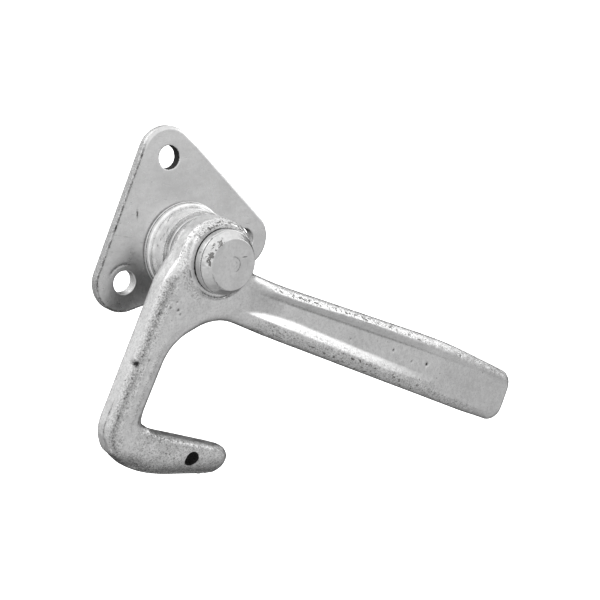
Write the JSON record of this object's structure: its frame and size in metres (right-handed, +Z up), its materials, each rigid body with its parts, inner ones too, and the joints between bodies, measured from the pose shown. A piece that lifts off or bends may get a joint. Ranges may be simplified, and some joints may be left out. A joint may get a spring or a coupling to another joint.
{
  "type": "gravity gate latch",
  "caption": "Forged hook lever that swings freely on a pin in front of a triangular wall plate; the handle's weight keeps the hook closed.",
  "frame": {"origin": "on the lever's pivot axis, at the back face of the wall plate", "axes": "+X to the right seen from the front, +Y along the pivot into the gate, +Z up"},
  "size_m": [0.2829, 0.0453, 0.2349],
  "materials": {
    "zinc_plate": "satin zinc plating",
    "zinc_washer": "bright zinc plating",
    "turned_zinc": "turned and zinc plated",
    "bush_steel": "ground steel tube",
    "galvanised_forging": "rough forging, hot dip galvanised",
    "zinc_pin": "satin zinc plating"
  },
  "bodies": {
    "wall_mount": {"base_plate": "zinc_plate", "backing_washer": "zinc_washer", "spacer_collar": "turned_zinc", "thrust_washer": "zinc_washer", "bearing_bush": "bush_steel", "head_washer": "zinc_washer", "pivot_pin": "zinc_pin"},
    "hook_lever": {"lever": "galvanised_forging"}
  },
  "joints": [
    {"name": "lever_swing", "type": "hinge", "parent": "wall_mount", "child": "hook_lever", "pos_m": [0, -0.028, 0], "axis": [0, -1, 0], "continuous": true}
  ]
}
